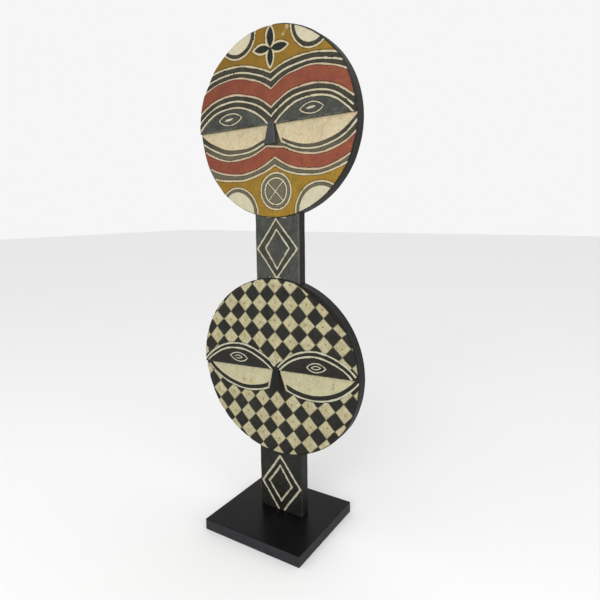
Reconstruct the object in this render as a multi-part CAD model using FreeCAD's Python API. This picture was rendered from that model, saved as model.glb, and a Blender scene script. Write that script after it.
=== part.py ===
"""Double disc mask on a stand: one carved board on a flat base board, held by two wood screws from below.

Millimetres. X runs to the right, Y from the front of the mask to its back, Z up. The origin is the centre of
the base board's underside, which is the face that the object stands on.
"""
import FreeCAD, Part
from collections import namedtuple
import os

V = FreeCAD.Vector

# Base board
BASE_WIDTH = 220.0
BASE_DEPTH = 202.0
BASE_HEIGHT = 22.0
BASE_ARRIS = 1.0

# Carved board: two posts with a disc on each, cut from one plank
POST_CENTRE_X = 2.4
PLANK_BACK_Y = 25.3
POST_THICKNESS = 23.1
NECK_WIDTH = 97.4
FOOT_WIDTH = 100.6
FOOT_HEIGHT = 125.1
NECK_HEIGHT = 112.1
POST_ARRIS = 1.2
DISC_PROUD = 3.0
DISC_ARRIS = 1.5
POST_REACH = 20.0

LOWER_DISC_X = -3.0
LOWER_DISC_WIDTH = 359.0
LOWER_DISC_HEIGHT = 353.2
UPPER_DISC_X = -0.9
UPPER_DISC_WIDTH = 338.4
UPPER_DISC_HEIGHT = 330.0

# Relief on each disc, measured up from the disc's centre and out from its field
LOWER_LID_PROUD = 3.4
LOWER_EYE_LINE = -4.0
LOWER_BROW_TOP = 60.0
LOWER_BROW_SLOPE = 60.0
LOWER_CROWN_PROUD = 1.0
LOWER_NOSE_X = 1.2
LOWER_NOSE_TOP = 0.0
LOWER_NOSE_LENGTH = 43.0
LOWER_NOSE_TOP_WIDTH = 12.0
LOWER_NOSE_FOOT_WIDTH = 36.0
LOWER_NOSE_PROUD = 5.0

UPPER_LID_PROUD = 5.0
UPPER_EYE_LINE = -1.0
UPPER_BROW_TOP = 74.0
UPPER_BROW_SLOPE = 18.0
UPPER_CROWN_PROUD = 2.0
UPPER_NOSE_X = 1.2
UPPER_NOSE_TOP = 6.0
UPPER_NOSE_LENGTH = 40.0
UPPER_NOSE_TOP_WIDTH = 11.0
UPPER_NOSE_FOOT_WIDTH = 33.0
UPPER_NOSE_PROUD = 6.5

NOSE_CROWN_SHARE = 0.62

# Two countersunk wood screws, driven up through the base board into the foot
SCREW_SPACING = 50.0
SCREW_RADIUS = 2.2
SCREW_LENGTH = 50.0
SCREW_TIP_LENGTH = 5.0
SCREW_TIP_RADIUS = 0.4
SCREW_HEAD_RADIUS = 4.4
SCREW_HEAD_HEIGHT = 2.7
SCREW_HEAD_SUNK = 0.8
RECESS_WIDTH = 1.1
RECESS_LENGTH = 4.8
RECESS_DEPTH = 1.6

# Clearances
SCREW_HOLE_CLEARANCE = 0.3
PILOT_CLEARANCE = 0.02
PILOT_RUN_OUT = 2.0
HEAD_CLEARANCE = 0.3

# How near to flat an edge must lie to count as flat
FLAT = 1e-6

# Worked out from the sizes above
POST_FACE_Y = PLANK_BACK_Y - POST_THICKNESS
FIELD_Y = POST_FACE_Y - DISC_PROUD
PLANK_CENTRE_Y = PLANK_BACK_Y - POST_THICKNESS / 2
LOWER_DISC_Z = BASE_HEIGHT + FOOT_HEIGHT + LOWER_DISC_HEIGHT / 2
LOWER_DISC_TOP = LOWER_DISC_Z + LOWER_DISC_HEIGHT / 2
UPPER_DISC_Z = LOWER_DISC_TOP + NECK_HEIGHT + UPPER_DISC_HEIGHT / 2

Disc = namedtuple(
    "Disc",
    "x z width height lid_proud eye_line brow_top brow_slope crown_proud "
    "nose_x nose_top nose_length nose_top_width nose_foot_width nose_proud",
)
LOWER_DISC = Disc(LOWER_DISC_X, LOWER_DISC_Z, LOWER_DISC_WIDTH, LOWER_DISC_HEIGHT, LOWER_LID_PROUD,
                  LOWER_EYE_LINE, LOWER_BROW_TOP, LOWER_BROW_SLOPE, LOWER_CROWN_PROUD, LOWER_NOSE_X,
                  LOWER_NOSE_TOP, LOWER_NOSE_LENGTH, LOWER_NOSE_TOP_WIDTH, LOWER_NOSE_FOOT_WIDTH,
                  LOWER_NOSE_PROUD)
UPPER_DISC = Disc(UPPER_DISC_X, UPPER_DISC_Z, UPPER_DISC_WIDTH, UPPER_DISC_HEIGHT, UPPER_LID_PROUD,
                  UPPER_EYE_LINE, UPPER_BROW_TOP, UPPER_BROW_SLOPE, UPPER_CROWN_PROUD, UPPER_NOSE_X,
                  UPPER_NOSE_TOP, UPPER_NOSE_LENGTH, UPPER_NOSE_TOP_WIDTH, UPPER_NOSE_FOOT_WIDTH,
                  UPPER_NOSE_PROUD)


def box(low, high):
    """A block between two opposite corners."""
    return Part.makeBox(high.x - low.x, high.y - low.y, high.z - low.z, low)


def rounded_along(shape, direction, radius):
    """Rounds the straight edges of a block that run along one direction."""
    edges = [e for e in shape.Edges if abs(abs(e.tangentAt(e.FirstParameter).dot(direction)) - 1) < FLAT]
    return shape.makeFillet(radius, edges)


def oval_prism(centre_x, centre_z, width, height, front_y, back_y, arris):
    """An upright oval slab, square to Y, with its two rims rounded."""
    centre = V(centre_x, front_y, centre_z)
    across = V(width / 2, 0, 0)
    upright = V(0, 0, height / 2)
    long_axis, short_axis = (across, upright) if width >= height else (upright, across)
    if width == height:
        outline = Part.Circle(centre, V(0, 1, 0), width / 2)
    else:
        outline = Part.Ellipse(centre + long_axis, centre + short_axis, centre)
    slab = Part.Face(Part.Wire(outline.toShape())).extrude(V(0, back_y - front_y, 0))
    rims = [e for e in slab.Edges if e.BoundBox.YLength < FLAT]
    return slab.makeFillet(arris, rims)


def cut_away(disc):
    """What the carver removes in front of a disc: all but the proud lids and brow above the eye line."""
    lid_y = FIELD_Y - disc.lid_proud
    crown_y = FIELD_Y - disc.crown_proud
    outside_y = lid_y - disc.width
    low_z, high_z = disc.z - disc.height, disc.z + disc.height
    eye_z = disc.z + disc.eye_line
    brow_z = disc.z + disc.brow_top
    left = disc.x - disc.width
    profile = [
        V(left, FIELD_Y, low_z),
        V(left, FIELD_Y, eye_z),
        V(left, lid_y, eye_z),
        V(left, lid_y, brow_z),
        V(left, crown_y, brow_z + disc.brow_slope),
        V(left, crown_y, high_z),
        V(left, outside_y, high_z),
        V(left, outside_y, low_z),
    ]
    return Part.Face(Part.makePolygon(profile + profile[:1])).extrude(V(2 * disc.width, 0, 0))


def nose(disc):
    """A tapered wedge, widest at its foot, that stands proud of the field."""
    centre_x = disc.x + disc.nose_x

    def section(z, width):
        crown = width * NOSE_CROWN_SHARE
        corners = [
            V(centre_x - width / 2, PLANK_CENTRE_Y, z),
            V(centre_x - width / 2, FIELD_Y, z),
            V(centre_x - crown / 2, FIELD_Y - disc.nose_proud, z),
            V(centre_x + crown / 2, FIELD_Y - disc.nose_proud, z),
            V(centre_x + width / 2, FIELD_Y, z),
            V(centre_x + width / 2, PLANK_CENTRE_Y, z),
        ]
        return Part.makePolygon(corners + corners[:1])

    top_z = disc.z + disc.nose_top
    ends = [section(top_z - disc.nose_length, disc.nose_foot_width), section(top_z, disc.nose_top_width)]
    return Part.makeLoft(ends, True, True)


def flat_rims(shape, level_y):
    """The oval rim edges of a disc that lie in one plane square to Y."""
    def on_level(edge):
        spread = edge.BoundBox
        return spread.YLength < FLAT and abs(spread.YMin - level_y) < FLAT and not is_straight(edge)
    return [edge for edge in shape.Edges if on_level(edge)]


def is_straight(edge):
    return edge.Curve.TypeId == "Part::GeomLine"


def mask_disc(disc):
    """One disc with its proud upper half and its nose, and its back and lower front rims eased."""
    front_y = FIELD_Y - disc.lid_proud
    blank = oval_prism(disc.x, disc.z, disc.width, disc.height, front_y, PLANK_BACK_Y, DISC_ARRIS)
    carved = blank.cut(cut_away(disc))
    carved = carved.makeFillet(DISC_ARRIS, flat_rims(carved, FIELD_Y))
    return carved.fuse(nose(disc))


def post(width, low_z, high_z):
    """A straight stretch of the board between or below the discs, with its long arrises eased."""
    low = V(POST_CENTRE_X - width / 2, POST_FACE_Y, low_z)
    high = V(POST_CENTRE_X + width / 2, PLANK_BACK_Y, high_z)
    return rounded_along(box(low, high), V(0, 0, 1), POST_ARRIS)


def screw_places():
    """Where the two screws stand, on the middle plane of the foot."""
    return [V(POST_CENTRE_X + side * SCREW_SPACING / 2, PLANK_CENTRE_Y, 0) for side in (-1, 1)]


def carved_plank():
    foot = post(FOOT_WIDTH, BASE_HEIGHT, BASE_HEIGHT + FOOT_HEIGHT + POST_REACH)
    neck = post(NECK_WIDTH, LOWER_DISC_TOP - POST_REACH, LOWER_DISC_TOP + NECK_HEIGHT + POST_REACH)
    plank = mask_disc(LOWER_DISC).fuse([mask_disc(UPPER_DISC), foot, neck])
    depth = SCREW_HEAD_SUNK + SCREW_LENGTH + PILOT_RUN_OUT
    pilots = [Part.makeCylinder(SCREW_RADIUS + PILOT_CLEARANCE, depth, at) for at in screw_places()]
    return plank.cut(Part.makeCompound(pilots))


def base_board():
    low = V(-BASE_WIDTH / 2, -BASE_DEPTH / 2, 0)
    board = box(low, V(BASE_WIDTH / 2, BASE_DEPTH / 2, BASE_HEIGHT))
    eased = [e for e in board.Edges if e.BoundBox.ZMax > BASE_HEIGHT / 2]
    board = board.makeFillet(BASE_ARRIS, eased)
    holes = []
    for at in screw_places():
        holes.append(Part.makeCylinder(SCREW_RADIUS + SCREW_HOLE_CLEARANCE, BASE_HEIGHT, at))
        mouth = SCREW_HEAD_RADIUS + HEAD_CLEARANCE
        holes.append(Part.makeCylinder(mouth, SCREW_HEAD_SUNK, at))
        seat = at + V(0, 0, SCREW_HEAD_SUNK)
        holes.append(Part.makeCone(SCREW_HEAD_RADIUS, SCREW_RADIUS, SCREW_HEAD_HEIGHT, seat))
    return board.cut(Part.makeCompound(holes))


def fixing_screw(at):
    """One screw, point up, with a cross recess in its head."""
    head_z = SCREW_HEAD_SUNK
    tip_z = head_z + SCREW_LENGTH
    outline = [
        V(0, 0, head_z),
        V(SCREW_HEAD_RADIUS, 0, head_z),
        V(SCREW_RADIUS, 0, head_z + SCREW_HEAD_HEIGHT),
        V(SCREW_RADIUS, 0, tip_z - SCREW_TIP_LENGTH),
        V(SCREW_TIP_RADIUS, 0, tip_z),
        V(0, 0, tip_z),
    ]
    turned = Part.Face(Part.makePolygon(outline + outline[:1])).revolve(V(0, 0, 0), V(0, 0, 1), 360)
    half_length, half_width = RECESS_LENGTH / 2, RECESS_WIDTH / 2
    top = head_z + RECESS_DEPTH
    recess = box(V(-half_length, -half_width, 0), V(half_length, half_width, top)).fuse(
        box(V(-half_width, -half_length, 0), V(half_width, half_length, top)))
    screw = turned.cut(recess)
    screw.translate(at)
    return screw


def fixing_screws():
    return Part.makeCompound([fixing_screw(at) for at in screw_places()])


os.makedirs("parts", exist_ok=True)
for name, shape in (("carved_plank", carved_plank()), ("base_board", base_board()),
                    ("fixing_screws", fixing_screws())):
    print(name, len(shape.Solids), "solids", round(shape.Volume / 1000, 1), "cm3",
          shape.isValid(), shape.BoundBox)
    shape.exportStep("parts/" + name + ".step")
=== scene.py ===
import math
from collections import namedtuple
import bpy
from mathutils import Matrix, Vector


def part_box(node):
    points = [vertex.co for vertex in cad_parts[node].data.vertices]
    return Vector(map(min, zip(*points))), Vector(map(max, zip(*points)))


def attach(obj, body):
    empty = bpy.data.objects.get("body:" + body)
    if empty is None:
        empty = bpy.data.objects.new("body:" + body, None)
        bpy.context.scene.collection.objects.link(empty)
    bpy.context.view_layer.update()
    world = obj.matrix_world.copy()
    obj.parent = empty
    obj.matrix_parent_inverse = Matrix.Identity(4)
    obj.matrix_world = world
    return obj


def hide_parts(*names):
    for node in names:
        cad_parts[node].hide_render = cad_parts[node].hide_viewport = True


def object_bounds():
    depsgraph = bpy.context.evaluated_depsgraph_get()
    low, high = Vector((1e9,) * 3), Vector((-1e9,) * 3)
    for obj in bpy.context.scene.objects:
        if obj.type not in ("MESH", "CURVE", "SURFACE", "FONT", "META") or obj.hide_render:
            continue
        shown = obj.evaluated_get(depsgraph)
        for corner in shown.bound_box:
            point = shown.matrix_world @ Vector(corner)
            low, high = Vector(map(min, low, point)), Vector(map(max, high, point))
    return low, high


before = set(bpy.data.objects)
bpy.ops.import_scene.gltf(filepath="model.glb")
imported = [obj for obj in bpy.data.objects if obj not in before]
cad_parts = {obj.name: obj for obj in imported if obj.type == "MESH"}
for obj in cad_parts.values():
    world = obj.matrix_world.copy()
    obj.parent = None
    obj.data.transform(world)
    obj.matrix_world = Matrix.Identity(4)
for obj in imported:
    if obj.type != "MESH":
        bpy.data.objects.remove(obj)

from types import SimpleNamespace

import bpy
import numpy as np
from mathutils import Matrix, Vector

bl_info = {
    "name": "Carved double disc mask",
    "version": (1, 0, 0),
    "blender": (4, 5, 0),
    "location": "View3D > Sidebar > Mask",
    "description": "Carves and paints a mask of two faces on posts, and finishes its stand",
    "category": "Object",
}

MM = 0.001
BODY = "root"
PLANK_NODE = "carved_plank"
PLANK_LOW, PLANK_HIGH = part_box(PLANK_NODE)
_, BASE_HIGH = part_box("base_board")
CAD_LOW, CAD_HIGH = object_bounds()

# Carving, in millimetres. On a face, u runs to the right and w up from the middle of its pattern.
BACK_Y = PLANK_HIGH.y / MM
BASE_TOP_Z = BASE_HIGH.z / MM
POST_THICKNESS = 23.1
DISC_PROUD = 3.0
POST_FACE_Y = BACK_Y - POST_THICKNESS
FIELD_Y = POST_FACE_Y - DISC_PROUD
MIDDLE_Y = 12.0
DISC_BACK_SUNK = 0.05
POST_X = 2.4
NECK_WIDTH, NECK_HEIGHT = 97.4, 112.1
FOOT_WIDTH, FOOT_HEIGHT = 100.6, 125.1
POST_REACH = 20.0
UPPER_DISC_X, UPPER_DISC_SIZE, UPPER_BORDER = -0.9, (338.4, 330.0), 1.2
LOWER_DISC_HEIGHT, LOWER_BORDER = 353.2, 6.0
OUTLINE_SHARE = 0.9965
PATTERN_U = 1.2
UNDERLAP = 0.6
FACE_STEPS = (4.3, 3.0, 3.0)
BACK_STEPS = (-4.0, -3.0, -3.0)
FACE_CELLS = 400
BACK_CELLS = 200
POST_CELL = 0.8
SMOOTH_ANGLE = 50

# What the paint is told where one of its fields doesn't reach
FAR = 99.0
OUTSIDE = -9.0
NOT_FRONT = -6.0
NOT_BACK = -5.0
NOT_RIM = -2.0
OFF_LIDS = 30.0


# ---------------------------------------------------------------------------------------------------------
# Strokes of the knife: each gives its distance from points (u, w)


class Arc:
    """A stroke along the circle through three points, from the first to the last."""

    def __init__(self, start, middle, end):
        (x1, y1), (x2, y2), (x3, y3) = start, middle, end
        twice_area = 2 * (x1 * (y2 - y3) + x2 * (y3 - y1) + x3 * (y1 - y2))
        s1, s2, s3 = x1 * x1 + y1 * y1, x2 * x2 + y2 * y2, x3 * x3 + y3 * y3
        self.u = (s1 * (y2 - y3) + s2 * (y3 - y1) + s3 * (y1 - y2)) / twice_area
        self.w = (s1 * (x3 - x2) + s2 * (x1 - x3) + s3 * (x2 - x1)) / twice_area
        self.radius = math.hypot(x1 - self.u, y1 - self.w)
        self.start, self.end = start, end
        self.over = y2 > self.w

    def height(self, u):
        rise = np.sqrt(np.maximum(self.radius ** 2 - (u - self.u) ** 2, 0))
        return self.w + rise if self.over else self.w - rise

    def outside(self, u, w):
        """Signed distance from the whole circle, positive outside it."""
        return np.hypot(u - self.u, w - self.w) - self.radius

    def distance(self, u, w):
        reach = np.maximum(np.hypot(u - self.u, w - self.w), 1e-6)
        foot = self.u + (u - self.u) * self.radius / reach
        low, high = sorted((self.start[0], self.end[0]))
        beside = (foot >= low) & (foot <= high) & ((w > self.w) == self.over)
        first_tip = np.hypot(u - self.start[0], w - self.start[1])
        last_tip = np.hypot(u - self.end[0], w - self.end[1])
        return np.where(beside, np.abs(reach - self.radius), np.minimum(first_tip, last_tip))


class Cut:
    """A straight stroke between two points."""

    def __init__(self, start, end):
        self.start, self.end = start, end

    def distance(self, u, w):
        (x1, y1), (x2, y2) = self.start, self.end
        dx, dy = x2 - x1, y2 - y1
        share = np.clip(((u - x1) * dx + (w - y1) * dy) / (dx * dx + dy * dy), 0, 1)
        return np.hypot(u - x1 - share * dx, w - y1 - share * dy)


class BandLine:
    """A line across the whole face: an arch over each eye, meeting in the middle."""

    def __init__(self, left_end, left_crest, middle, right_crest, right_end):
        self.left = Arc(left_end, left_crest, middle)
        self.right = Arc(middle, right_crest, right_end)
        self.middle = middle[0]

    def height(self, u):
        return np.where(u < self.middle, self.left.height(u), self.right.height(u))

    def distance(self, u, w):
        return np.minimum(self.left.distance(u, w), self.right.distance(u, w))


def lens(u, w, centre, half_length, half_height, tilt=0.0):
    """Signed distance into a pointed oval, positive inside it."""
    c, s = math.cos(math.radians(tilt)), math.sin(math.radians(tilt))
    x, y = u - centre[0], w - centre[1]
    along, across = c * x + s * y, np.abs(c * y - s * x)
    radius = (half_length ** 2 + half_height ** 2) / (2 * half_height)
    return radius - np.hypot(along, across + radius - half_height)


def largest(*fields):
    return np.maximum.reduce(fields)


def smallest(*fields):
    return np.minimum.reduce(fields)


def nearest(strokes, u, w):
    """Distance to the nearest of several strokes."""
    return smallest(*(stroke.distance(u, w) for stroke in strokes))


def ripple(u, w, size, seed):
    """A smooth random wave of about unit height, with bumps about one size apart."""
    rng = np.random.default_rng(seed)
    total = np.zeros_like(u)
    for _ in range(6):
        heading, phase = rng.uniform(0, 2 * math.pi, 2)
        turns = 2 * math.pi / size * rng.uniform(0.6, 1.5)
        total += np.sin(turns * (u * math.cos(heading) + w * math.sin(heading)) + phase)
    return total / 2.5


def waver(u, w, seed):
    """A slow drift and a small tremble, in millimetres."""
    return 0.5 * ripple(u, w, 70, seed) + 0.08 * ripple(u, w, 14, seed + 1)


def hand_drawn(u, w, seed):
    """Points shifted a little, so that strokes taken at them waver as if cut by hand."""
    return u + waver(u, w, seed), w + waver(u, w, seed + 2)


def step(x, low, high):
    share = np.clip((x - low) / (high - low), 0, 1)
    return share * share * (3 - 2 * share)


def swell(distance, height):
    """How far a field stands up between its cuts, at a distance from the nearest."""
    return height * (1 - np.exp(-(distance / 4) ** 2))


def eye_hollow(eye_white, w, depth, low_w, high_w):
    """How deep the white of an eye is scooped, deepest under its lid."""
    return depth * step(eye_white, -0.8, 3.0) * (0.35 + 0.65 * step(w, low_w, high_w))


def groove(distance, half_width, depth):
    """The depth of a rounded cut at a distance from its middle."""
    return depth * np.clip(1 - (distance / half_width) ** 2, 0, 1)


def eased(distance, radius):
    """How far a surface falls back where an edge is rounded, at a distance in from that edge."""
    short = np.clip(radius - distance, 0, radius)
    return radius - np.sqrt(radius ** 2 - short ** 2)


# ---------------------------------------------------------------------------------------------------------
# The upper face


GROOVE_HALF = 2.1
LENS_LINE = 2.1
UPPER_BROW, UPPER_SUNK = 5.0, 0.4
LID_CROWN = 0.08

LINE_A = BandLine((-136, 100), (-90, 107), (-1, 87), (80, 107), (135, 99))
LINE_B = BandLine((-146, 84), (-88, 96), (-1, 74), (79, 96), (144, 85))
LINE_C = BandLine((-156, 67), (-90, 86), (0, 60), (82, 87), (150, 71))
LINE_D = BandLine((-169, 29), (-88, 58), (1, 28), (81, 58), (162, 31))
LINE_E = BandLine((-170, 14), (-90, 47), (1, 13), (81, 47), (162, 17))
EYE_TOPS = (Arc((-169, -1), (-90, 36), (-8, 2)), Arc((8, 1), (82, 38), (162, 5)))
EYE_FLOORS = (Arc((-166, -9), (-82, -39), (-16, -23)), Arc((17, -22), (85, -38), (168, 3)))
LINE_G = (Arc((-164, -24), (-82, -47.5), (-18, -31)), Arc((20, -30), (81, -46), (168, -6)))
LINE_H = (
    Arc((-160, -39), (-82, -58), (-15, -36)),
    Cut((-15, -36), (25, -40)),
    Arc((25, -40), (85, -55), (166, -23)),
)
LINE_I = BandLine((-149, -71), (-90, -85), (2, -57), (84, -81), (160, -56))
LINE_J = BandLine((-139, -90), (-80, -95.5), (2, -71), (87, -90), (155, -70))
CORNER_OVALS = (
    Arc((-33, 161), (-71, 119), (-102, 129)),
    Arc((42, 159), (78, 115.5), (109, 126)),
    Arc((-110, -117), (-80, -109.5), (-38, -155)),
    Arc((127, -112), (90, -102.5), (47, -156)),
)
OVAL_BAND = 8.0
WHEEL = (4, -117)
WHEEL_OUTER = 33.0
WHEEL_INNER = 24.0
WHEEL_SPOKES = (Cut((-15, -99), (20, -134)), Cut((23, -98), (-13, -134)))
SMEAR = Arc((25, 144), (31, 148), (35, 159))
NOSE_EDGES = (Cut((-9.5, -2), (-18, -32)), Cut((9.5, -2), (20, -31)))
FLOWER = (-1, 127)
FLOWER_OUTLINE = 3.6
UPPER_EYE_LINE = ((-165, -4), (162, 5))


def flower(u, w):
    """Signed distance into the four petals."""
    x, y = FLOWER
    return largest(
        lens(u, w, (x, y + 18), 17, 6.6, 90),
        lens(u, w, (x, y - 14), 15.5, 6.0, 90),
        lens(u, w, (x - 17.5, y), 17, 6.2),
        lens(u, w, (x + 18, y), 17, 6.4),
    )


def upper_lenses(u, w):
    """Signed distances into the two pupils' outlines and into the dashes inside them."""
    rings = largest(lens(u, w, (-93, 16.5), 27, 10.0, 3), lens(u, w, (83.5, 19), 23.5, 9.5, 3))
    dashes = largest(lens(u, w, (-95, 16), 11, 2.3, 8), lens(u, w, (82, 19), 11, 2.3, 8)) - 0.2
    return rings, dashes


def floor_height(arcs, u):
    """Height of a line with an arc for each eye, level between them."""
    left, right = arcs[0], arcs[-1]
    between = (left.end[1] + right.start[1]) / 2
    return np.where(u < left.end[0], left.height(u), np.where(u > right.start[0], right.height(u), between))


def upper_face(u, w):
    """Paint fields and relief of the upper face."""
    sizes = carving_sizes()
    u, w = hand_drawn(u, w, 11)
    ring, dash = upper_lenses(u, w)
    petals = flower(u, w)
    wheel = np.hypot(u - WHEEL[0], w - WHEEL[1])
    spokes = np.where(wheel < WHEEL_INNER, nearest(WHEEL_SPOKES, u, w), FAR)
    wheel_lines = smallest(np.abs(wheel - WHEEL_OUTER), np.abs(wheel - WHEEL_INNER) + 0.2, spokes + 0.5)
    nose_edges = nearest(NOSE_EDGES, u, w)
    lines = nearest((LINE_A, LINE_B, LINE_C, LINE_D, LINE_E, LINE_I, LINE_J) + EYE_TOPS + LINE_G + LINE_H, u, w)
    lines = lines + 0.22 * ripple(u, w, 30, 14)
    ovals = largest(*(-oval.outside(u, w) for oval in CORNER_OVALS))
    cut = smallest(lines, np.abs(ovals), wheel_lines, np.abs(ring) + 0.5, np.abs(petals + 2) + 0.1)
    eye_white = np.minimum(w - floor_height(EYE_FLOORS, u), np.abs(u - 0.5) - 8.0 + 0.32 * np.minimum(w, 0))
    eye_white = np.maximum(eye_white, 1.9 - nose_edges)
    eye_white = np.where(w < 12, eye_white, OUTSIDE)
    cream = largest(
        sizes.upper_line - lines,
        sizes.upper_line - np.abs(ovals),
        ovals - OVAL_BAND,
        sizes.upper_line - wheel_lines,
        LENS_LINE / 2 - np.abs(ring),
        dash,
        np.minimum(petals + FLOWER_OUTLINE, -petals),
    )
    line_c = LINE_C.height(u)
    red = np.where(w > 0, np.minimum(line_c - w, w - LINE_D.height(u)),
                   np.minimum(floor_height(LINE_H, u) - w, w - LINE_I.height(u)))
    ochre = np.where(w > 0, w - LINE_A.height(u), LINE_J.height(u) - w)
    ochre = smallest(ochre, -ovals, wheel - WHEEL_OUTER, -petals - 1)
    lid = np.where(w > -8, floor_height(EYE_TOPS, u) - w, OUTSIDE)
    dust = np.maximum(step(WHEEL_OUTER - wheel, 0, 1.5), 0.8 * step(-w, 15, 55))
    tone = np.clip(0.95 + 0.17 * (u - w) / 160, 0.72, 1.1)
    fields = dict(cream=cream, white=eye_white, red=red, ochre=ochre, cut=cut, lid=lid, dust=dust, tone=tone,
                  petal=petals, smear=4.6 - SMEAR.distance(u, w))
    relief = swell(cut, 0.35) - groove(cut, GROOVE_HALF, sizes.upper_depth)
    relief -= groove(np.maximum(-petals, 0), 2.5, 0.9) * (petals > 0) + 1.0 * step(petals, -0.5, 1.5)
    brow = UPPER_BROW - 2.2 * step(w - line_c, -1.5, 1.5) - 0.8 * step(w, 90, 165)
    above = brow - UPPER_SUNK + LID_CROWN * np.where(w > 0, np.maximum(ring, 0), 0)
    below = -eye_hollow(eye_white, w, 1.5, -36, 2) - UPPER_SUNK
    return fields, above + relief, below + relief


# ---------------------------------------------------------------------------------------------------------
# The lower face


LOWER_BROW, LOWER_SUNK = 3.4, 0.35
CHECK_PITCH = 36.5
CHECK_CUT_HALF, CHECK_CUT_DEPTH = 1.6, 0.9
CHECK_BORDER = 2.8
LOWER_EYE_LINE = ((-165, -10), (170, 4))
LOWER_OUTER = (Arc((-179, -6), (-82, 39), (-2, 4)), Arc((4, 2), (97, 45), (172, 12)))
LOWER_INNER = (Arc((-172, -7), (-85, 29), (-9, -4)), Arc((10, -1), (95, 35), (165, 6)))
LOWER_FLOORS = (Arc((-170, -4), (-84, -45), (-19, -31)), Arc((23, -28), (77, -40), (170, 3)))
LOWER_UNDER = (Arc((-172, -17), (-82, -54.5), (-18, -42)), Arc((23, -40), (80, -51), (177, -1)))
LOWER_NOSE_EDGES = (Cut((-10, -6), (-19, -42)), Cut((11, -5), (23, -40)))


def check_cells(u, w, first_u, first_w, row_pitch, shear, fanned):
    """Signed distance into the nearest cream check, and distances to the cuts round it and to its dot."""
    rise = w - shear * u
    if fanned:
        high = np.maximum(w - 30, 0)
        rise += 0.00015 * high * u + 3 * step(w, 75, 105) * np.minimum((u / 107) ** 2, 1.2)
        u = u * (1 + 0.0003 * high)
    column = np.round((u - first_u) / CHECK_PITCH)
    row = np.round((rise - first_w) / row_pitch)
    x = u - first_u - column * CHECK_PITCH
    y = (rise - first_w - row * row_pitch) * CHECK_PITCH / row_pitch
    vary = 0.25 * np.sin(column * 12.9 + row * 78.2)
    gap = carving_sizes().check_gap
    inside = (CHECK_PITCH / 2 - gap + vary - np.abs(x) - np.abs(y)) / math.sqrt(2)
    edge = np.abs(CHECK_PITCH / 2 - np.abs(x) - np.abs(y)) / math.sqrt(2)
    dot_u = x - 3.2 * np.sin(column * 5.3 + row * 2.1)
    dot_w = y - 3.0 * np.cos(column * 3.7 + row * 4.9)
    return inside, edge, np.hypot(dot_u, dot_w)


def lower_face(u, w):
    """Paint fields and relief of the lower face."""
    sizes = carving_sizes()
    u, w = hand_drawn(u, w, 23)
    brow_checks, brow_cuts, brow_dots = check_cells(u, w, 0, 92, 36.2, 0.045, True)
    chin_checks, chin_cuts, chin_dots = check_cells(u, w, 1.4, -65.5, 37.8, 0.015, False)
    brow_checks = brow_checks - 2.6 * step(-w, -18, -14)
    in_brow, in_chin = w - floor_height(LOWER_OUTER, u), floor_height(LOWER_UNDER, u) - w
    brow_checks = np.minimum(brow_checks, in_brow - CHECK_BORDER)
    chin_checks = np.minimum(chin_checks, in_chin - CHECK_BORDER)
    checks = largest(brow_checks, chin_checks)
    cuts = np.minimum(np.where(in_brow > 0, brow_cuts, FAR), np.where(in_chin > 0, chin_cuts, FAR))
    dots = np.where(in_brow > 0, brow_dots, chin_dots)
    stains = np.minimum(np.hypot(u + 80, w + 34), np.hypot(u + 61, w + 35) + 0.4)
    ring = largest(lens(u, w, (-90, 10.5), 21.5, 8.6, -2), lens(u, w, (91.5, 15.5), 20.5, 8.4, 4))
    dash = 0.8 - np.abs(largest(lens(u, w, (-91, 11), 10, 3.0, -1), lens(u, w, (92, 16), 10, 3.0, 6)))
    crack = nearest((Cut((124, -31), (125, -20)), Cut((125, -20), (126, -9))), u, w)
    lines = nearest(LOWER_OUTER + LOWER_INNER + LOWER_UNDER, u, w) + 0.22 * ripple(u, w, 30, 24)
    cut = np.minimum(lines, np.abs(ring) + 0.5)
    eye_white = np.minimum(w - floor_height(LOWER_FLOORS, u), np.abs(u - 1.5) - 9.0 + 0.34 * np.minimum(w, 0))
    eye_white = np.maximum(eye_white, 2.0 - nearest(LOWER_NOSE_EDGES, u, w))
    eye_white = np.minimum(eye_white, crack - 0.35)
    eye_white = np.where(w < 12, eye_white, OUTSIDE)
    cream = largest(checks, sizes.lower_line - lines, LENS_LINE / 2 - np.abs(ring), dash)
    dot = np.minimum(np.where(checks > 1, dots, 12.0), stains)
    line = largest(sizes.lower_line + 0.6 - lines, ring + 2)
    fields = dict(cream=cream, white=eye_white, cut=np.minimum(cut, cuts + 0.6), dot=dot, line=line,
                  scratch=cuts)
    relief = -groove(cut, GROOVE_HALF, sizes.lower_depth) - groove(cuts, CHECK_CUT_HALF, CHECK_CUT_DEPTH)
    relief += swell(np.minimum(cut, cuts), 0.3) - 0.5 * np.exp(-(dots / 1.1) ** 2) * (checks > 0)
    brow = LOWER_BROW - 2.4 * step(w, 60, 170)
    above = brow - LOWER_SUNK + LID_CROWN * np.where(w > -4, np.maximum(ring, 0), 0)
    below = -eye_hollow(eye_white, w, 1.4, -42, 0) - LOWER_SUNK
    return fields, above + relief, below + relief - groove(crack, 0.5, 0.8)


# ---------------------------------------------------------------------------------------------------------
# Mesh tools


def deselect_everything():
    for item in bpy.context.selected_objects:
        item.select_set(False)


def select_only(piece):
    deselect_everything()
    piece.select_set(True)
    bpy.context.view_layer.objects.active = piece


def start_edit(piece):
    select_only(piece)
    bpy.ops.object.mode_set(mode="EDIT")
    bpy.ops.mesh.select_all(action="DESELECT")


def end_edit():
    bpy.ops.object.mode_set(mode="OBJECT")


def points_of(piece):
    found = np.empty(len(piece.data.vertices) * 3)
    piece.data.vertices.foreach_get("co", found)
    return found.reshape(-1, 3)


def move_points(piece, points):
    piece.data.vertices.foreach_set("co", np.ascontiguousarray(points, dtype=np.float64).ravel())
    piece.data.update()


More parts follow.
